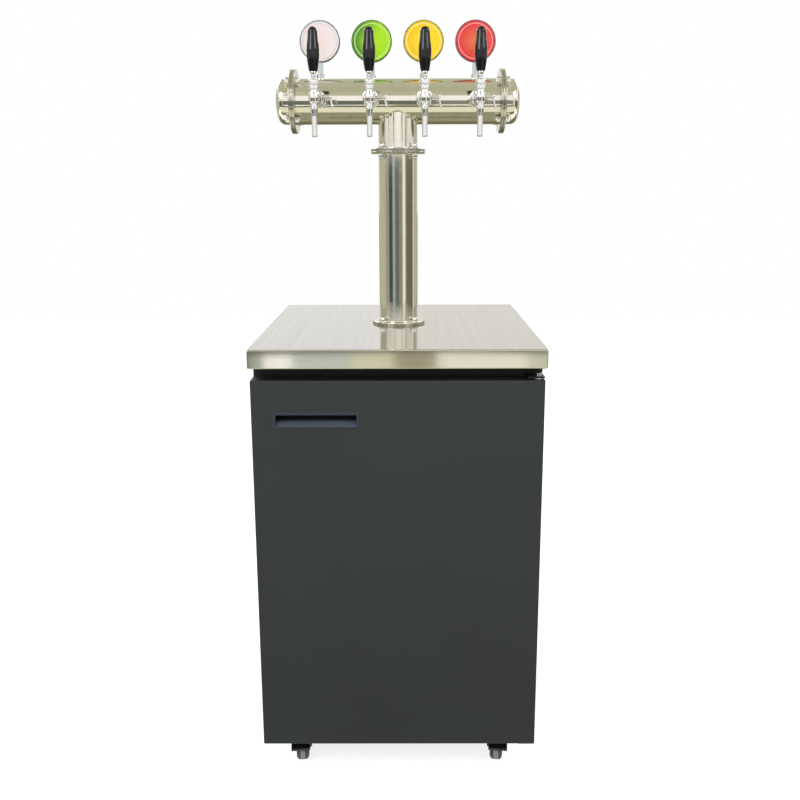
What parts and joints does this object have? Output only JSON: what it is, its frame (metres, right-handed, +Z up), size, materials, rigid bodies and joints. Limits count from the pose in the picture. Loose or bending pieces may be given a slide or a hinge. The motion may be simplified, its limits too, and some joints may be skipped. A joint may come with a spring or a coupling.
{
  "type": "draft beer dispenser",
  "caption": "Insulated keg cabinet on castors with a hinged door, stainless worktop and a bolted T-shaped tower carrying flow-control beer taps with round medallions.",
  "frame": {"origin": "on the floor under the middle of the worktop", "axes": "+Z up, +X to the right seen from the front, the door and taps face -Y"},
  "size_m": [0.6, 0.61, 1.6461],
  "materials": {
    "charcoal_coat": "satin powder coat",
    "black_coat": "satin",
    "galvanised": "matt zinc",
    "white_abs": "satin",
    "stainless_brushed": "fine brushed",
    "stainless_polished": "mirror polished",
    "chrome_plate": "polished",
    "board": "raw",
    "black_gloss": "gloss",
    "pull_abs": "fine texture",
    "gasket_rubber": "matt",
    "nylon": "satin",
    "clear_acrylic": "polished",
    "face_pale": "gloss print",
    "face_green": "gloss print",
    "face_yellow": "gloss print",
    "face_red": "gloss print",
    "wheel_rubber": "matt",
    "castor_steel": "satin",
    "zinc": "bright zinc",
    "pedal_nylon": "satin",
    "fin_aluminium": "mill",
    "pot_enamel": "gloss",
    "fan_nylon": "satin",
    "line_pe": "satin"
  },
  "bodies": {
    "cabinet": {"base_pan": "black_coat", "case_panels": "charcoal_coat", "insulated_liner": "white_abs", "face_frame": "black_coat", "keg_floor": "galvanised", "worktop": "stainless_brushed", "worktop_core": "board", "rear_grille": "black_coat", "compressor": "pot_enamel", "condenser": "fin_aluminium", "evaporator_cover": "white_abs", "evaporator_coil": "fin_aluminium", "mains_inlet": "black_gloss", "hinge_brackets": "zinc", "tower_flanges": "stainless_polished", "tower_bolts": "chrome_plate", "column_tube": "stainless_polished", "tee_body": "stainless_polished", "end_caps": "stainless_polished", "shanks": "chrome_plate", "beer_lines": "line_pe", "line_fittings": "nylon", "tap_bodies": "chrome_plate", "medallion_holders": "chrome_plate", "medallion_bodies": "clear_acrylic", "medallion_face_1": "face_pale", "medallion_face_2": "face_green", "medallion_face_3": "face_yellow", "medallion_face_4": "face_red", "castor_plates": "zinc"},
    "door": {"door_panel": "charcoal_coat", "door_liner": "white_abs", "door_gasket": "gasket_rubber", "finger_pull": "pull_abs", "hinge_bushes": "nylon"},
    "tap_1_lever": {"tap_lever_1": "chrome_plate", "tap_handle_1": "black_gloss"},
    "tap_1_flow": {"flow_lever_1": "chrome_plate"},
    "tap_2_lever": {"tap_lever_2": "chrome_plate", "tap_handle_2": "black_gloss"},
    "tap_2_flow": {"flow_lever_2": "chrome_plate"},
    "tap_3_lever": {"tap_lever_3": "chrome_plate", "tap_handle_3": "black_gloss"},
    "tap_3_flow": {"flow_lever_3": "chrome_plate"},
    "tap_4_lever": {"tap_lever_4": "chrome_plate", "tap_handle_4": "black_gloss"},
    "tap_4_flow": {"flow_lever_4": "chrome_plate"},
    "castor_1": {"castor_fork_1": "castor_steel"},
    "castor_1_wheel": {"castor_wheel_1": "wheel_rubber"},
    "castor_1_pedal": {"castor_brake_1": "pedal_nylon"},
    "castor_2": {"castor_fork_2": "castor_steel"},
    "castor_2_wheel": {"castor_wheel_2": "wheel_rubber"},
    "castor_2_pedal": {"castor_brake_2": "pedal_nylon"},
    "castor_3": {"castor_fork_3": "castor_steel"},
    "castor_3_wheel": {"castor_wheel_3": "wheel_rubber"},
    "castor_4": {"castor_fork_4": "castor_steel"},
    "castor_4_wheel": {"castor_wheel_4": "wheel_rubber"},
    "evaporator_rotor": {"evaporator_fan": "fan_nylon"},
    "condenser_rotor": {"condenser_fan": "fan_nylon"},
    "thermostat": {"thermostat_knob": "black_gloss"}
  },
  "joints": [
    {"name": "door_hinge", "type": "hinge", "parent": "cabinet", "child": "door", "pos_m": [0.284, -0.285, 0.5], "axis": [0, 0, 1], "range_deg": [0, 110]},
    {"name": "tap_1_pull", "type": "hinge", "parent": "cabinet", "child": "tap_1_lever", "pos_m": [-0.1725, -0.128, 1.4986], "axis": [1, 0, 0], "range_deg": [0, 30]},
    {"name": "tap_1_flow_turn", "type": "hinge", "parent": "cabinet", "child": "tap_1_flow", "pos_m": [-0.1525, -0.088, 1.4726], "axis": [1, 0, 0], "range_deg": [-90, 90]},
    {"name": "tap_2_pull", "type": "hinge", "parent": "cabinet", "child": "tap_2_lever", "pos_m": [-0.0575, -0.128, 1.4986], "axis": [1, 0, 0], "range_deg": [0, 30]},
    {"name": "tap_2_flow_turn", "type": "hinge", "parent": "cabinet", "child": "tap_2_flow", "pos_m": [-0.0375, -0.088, 1.4726], "axis": [1, 0, 0], "range_deg": [-90, 90]},
    {"name": "tap_3_pull", "type": "hinge", "parent": "cabinet", "child": "tap_3_lever", "pos_m": [0.0575, -0.128, 1.4986], "axis": [1, 0, 0], "range_deg": [0, 30]},
    {"name": "tap_3_flow_turn", "type": "hinge", "parent": "cabinet", "child": "tap_3_flow", "pos_m": [0.0775, -0.088, 1.4726], "axis": [1, 0, 0], "range_deg": [-90, 90]},
    {"name": "tap_4_pull", "type": "hinge", "parent": "cabinet", "child": "tap_4_lever", "pos_m": [0.1725, -0.128, 1.4986], "axis": [1, 0, 0], "range_deg": [0, 30]},
    {"name": "tap_4_flow_turn", "type": "hinge", "parent": "cabinet", "child": "tap_4_flow", "pos_m": [0.1925, -0.088, 1.4726], "axis": [1, 0, 0], "range_deg": [-90, 90]},
    {"name": "castor_1_swivel", "type": "hinge", "parent": "cabinet", "child": "castor_1", "pos_m": [-0.224, -0.199, 0.075], "axis": [0, 0, 1], "continuous": true},
    {"name": "castor_1_roll", "type": "hinge", "parent": "castor_1", "child": "castor_1_wheel", "pos_m": [-0.22107, -0.22685, 0.0315], "axis": [0.9945, 0.1045, 0], "continuous": true},
    {"name": "castor_1_brake", "type": "hinge", "parent": "castor_1", "child": "castor_1_pedal", "pos_m": [-0.2194, -0.24276, 0.067], "axis": [0.9945, 0.1045, 0], "range_deg": [0, 12]},
    {"name": "castor_2_swivel", "type": "hinge", "parent": "cabinet", "child": "castor_2", "pos_m": [0.224, -0.199, 0.075], "axis": [0, 0, 1], "continuous": true},
    {"name": "castor_2_roll", "type": "hinge", "parent": "castor_2", "child": "castor_2_wheel", "pos_m": [0.22107, -0.22685, 0.0315], "axis": [0.9945, -0.1045, 0], "continuous": true},
    {"name": "castor_2_brake", "type": "hinge", "parent": "castor_2", "child": "castor_2_pedal", "pos_m": [0.2194, -0.24276, 0.067], "axis": [0.9945, -0.1045, 0], "range_deg": [0, 12]},
    {"name": "castor_3_swivel", "type": "hinge", "parent": "cabinet", "child": "castor_3", "pos_m": [-0.224, 0.271, 0.075], "axis": [0, 0, 1], "continuous": true},
    {"name": "castor_3_roll", "type": "hinge", "parent": "castor_3", "child": "castor_3_wheel", "pos_m": [-0.21914, 0.24343, 0.0315], "axis": [0.9848, 0.1736, 0], "continuous": true},
    {"name": "castor_4_swivel", "type": "hinge", "parent": "cabinet", "child": "castor_4", "pos_m": [0.224, 0.271, 0.075], "axis": [0, 0, 1], "continuous": true},
    {"name": "castor_4_roll", "type": "hinge", "parent": "castor_4", "child": "castor_4_wheel", "pos_m": [0.21818, 0.24361, 0.0315], "axis": [0.9781, -0.2079, 0], "continuous": true},
    {"name": "evaporator_fan_spin", "type": "hinge", "parent": "cabinet", "child": "evaporator_rotor", "pos_m": [0, 0.1838, 0.7282], "axis": [0, 1, 0], "continuous": true},
    {"name": "condenser_fan_spin", "type": "hinge", "parent": "cabinet", "child": "condenser_rotor", "pos_m": [0.1765, 0.2125, 0.1922], "axis": [1, 0, 0], "continuous": true},
    {"name": "thermostat_turn", "type": "hinge", "parent": "cabinet", "child": "thermostat", "pos_m": [0.144, 0.16, 0.6002], "axis": [0, -1, 0], "range_deg": [0, 270]}
  ]
}
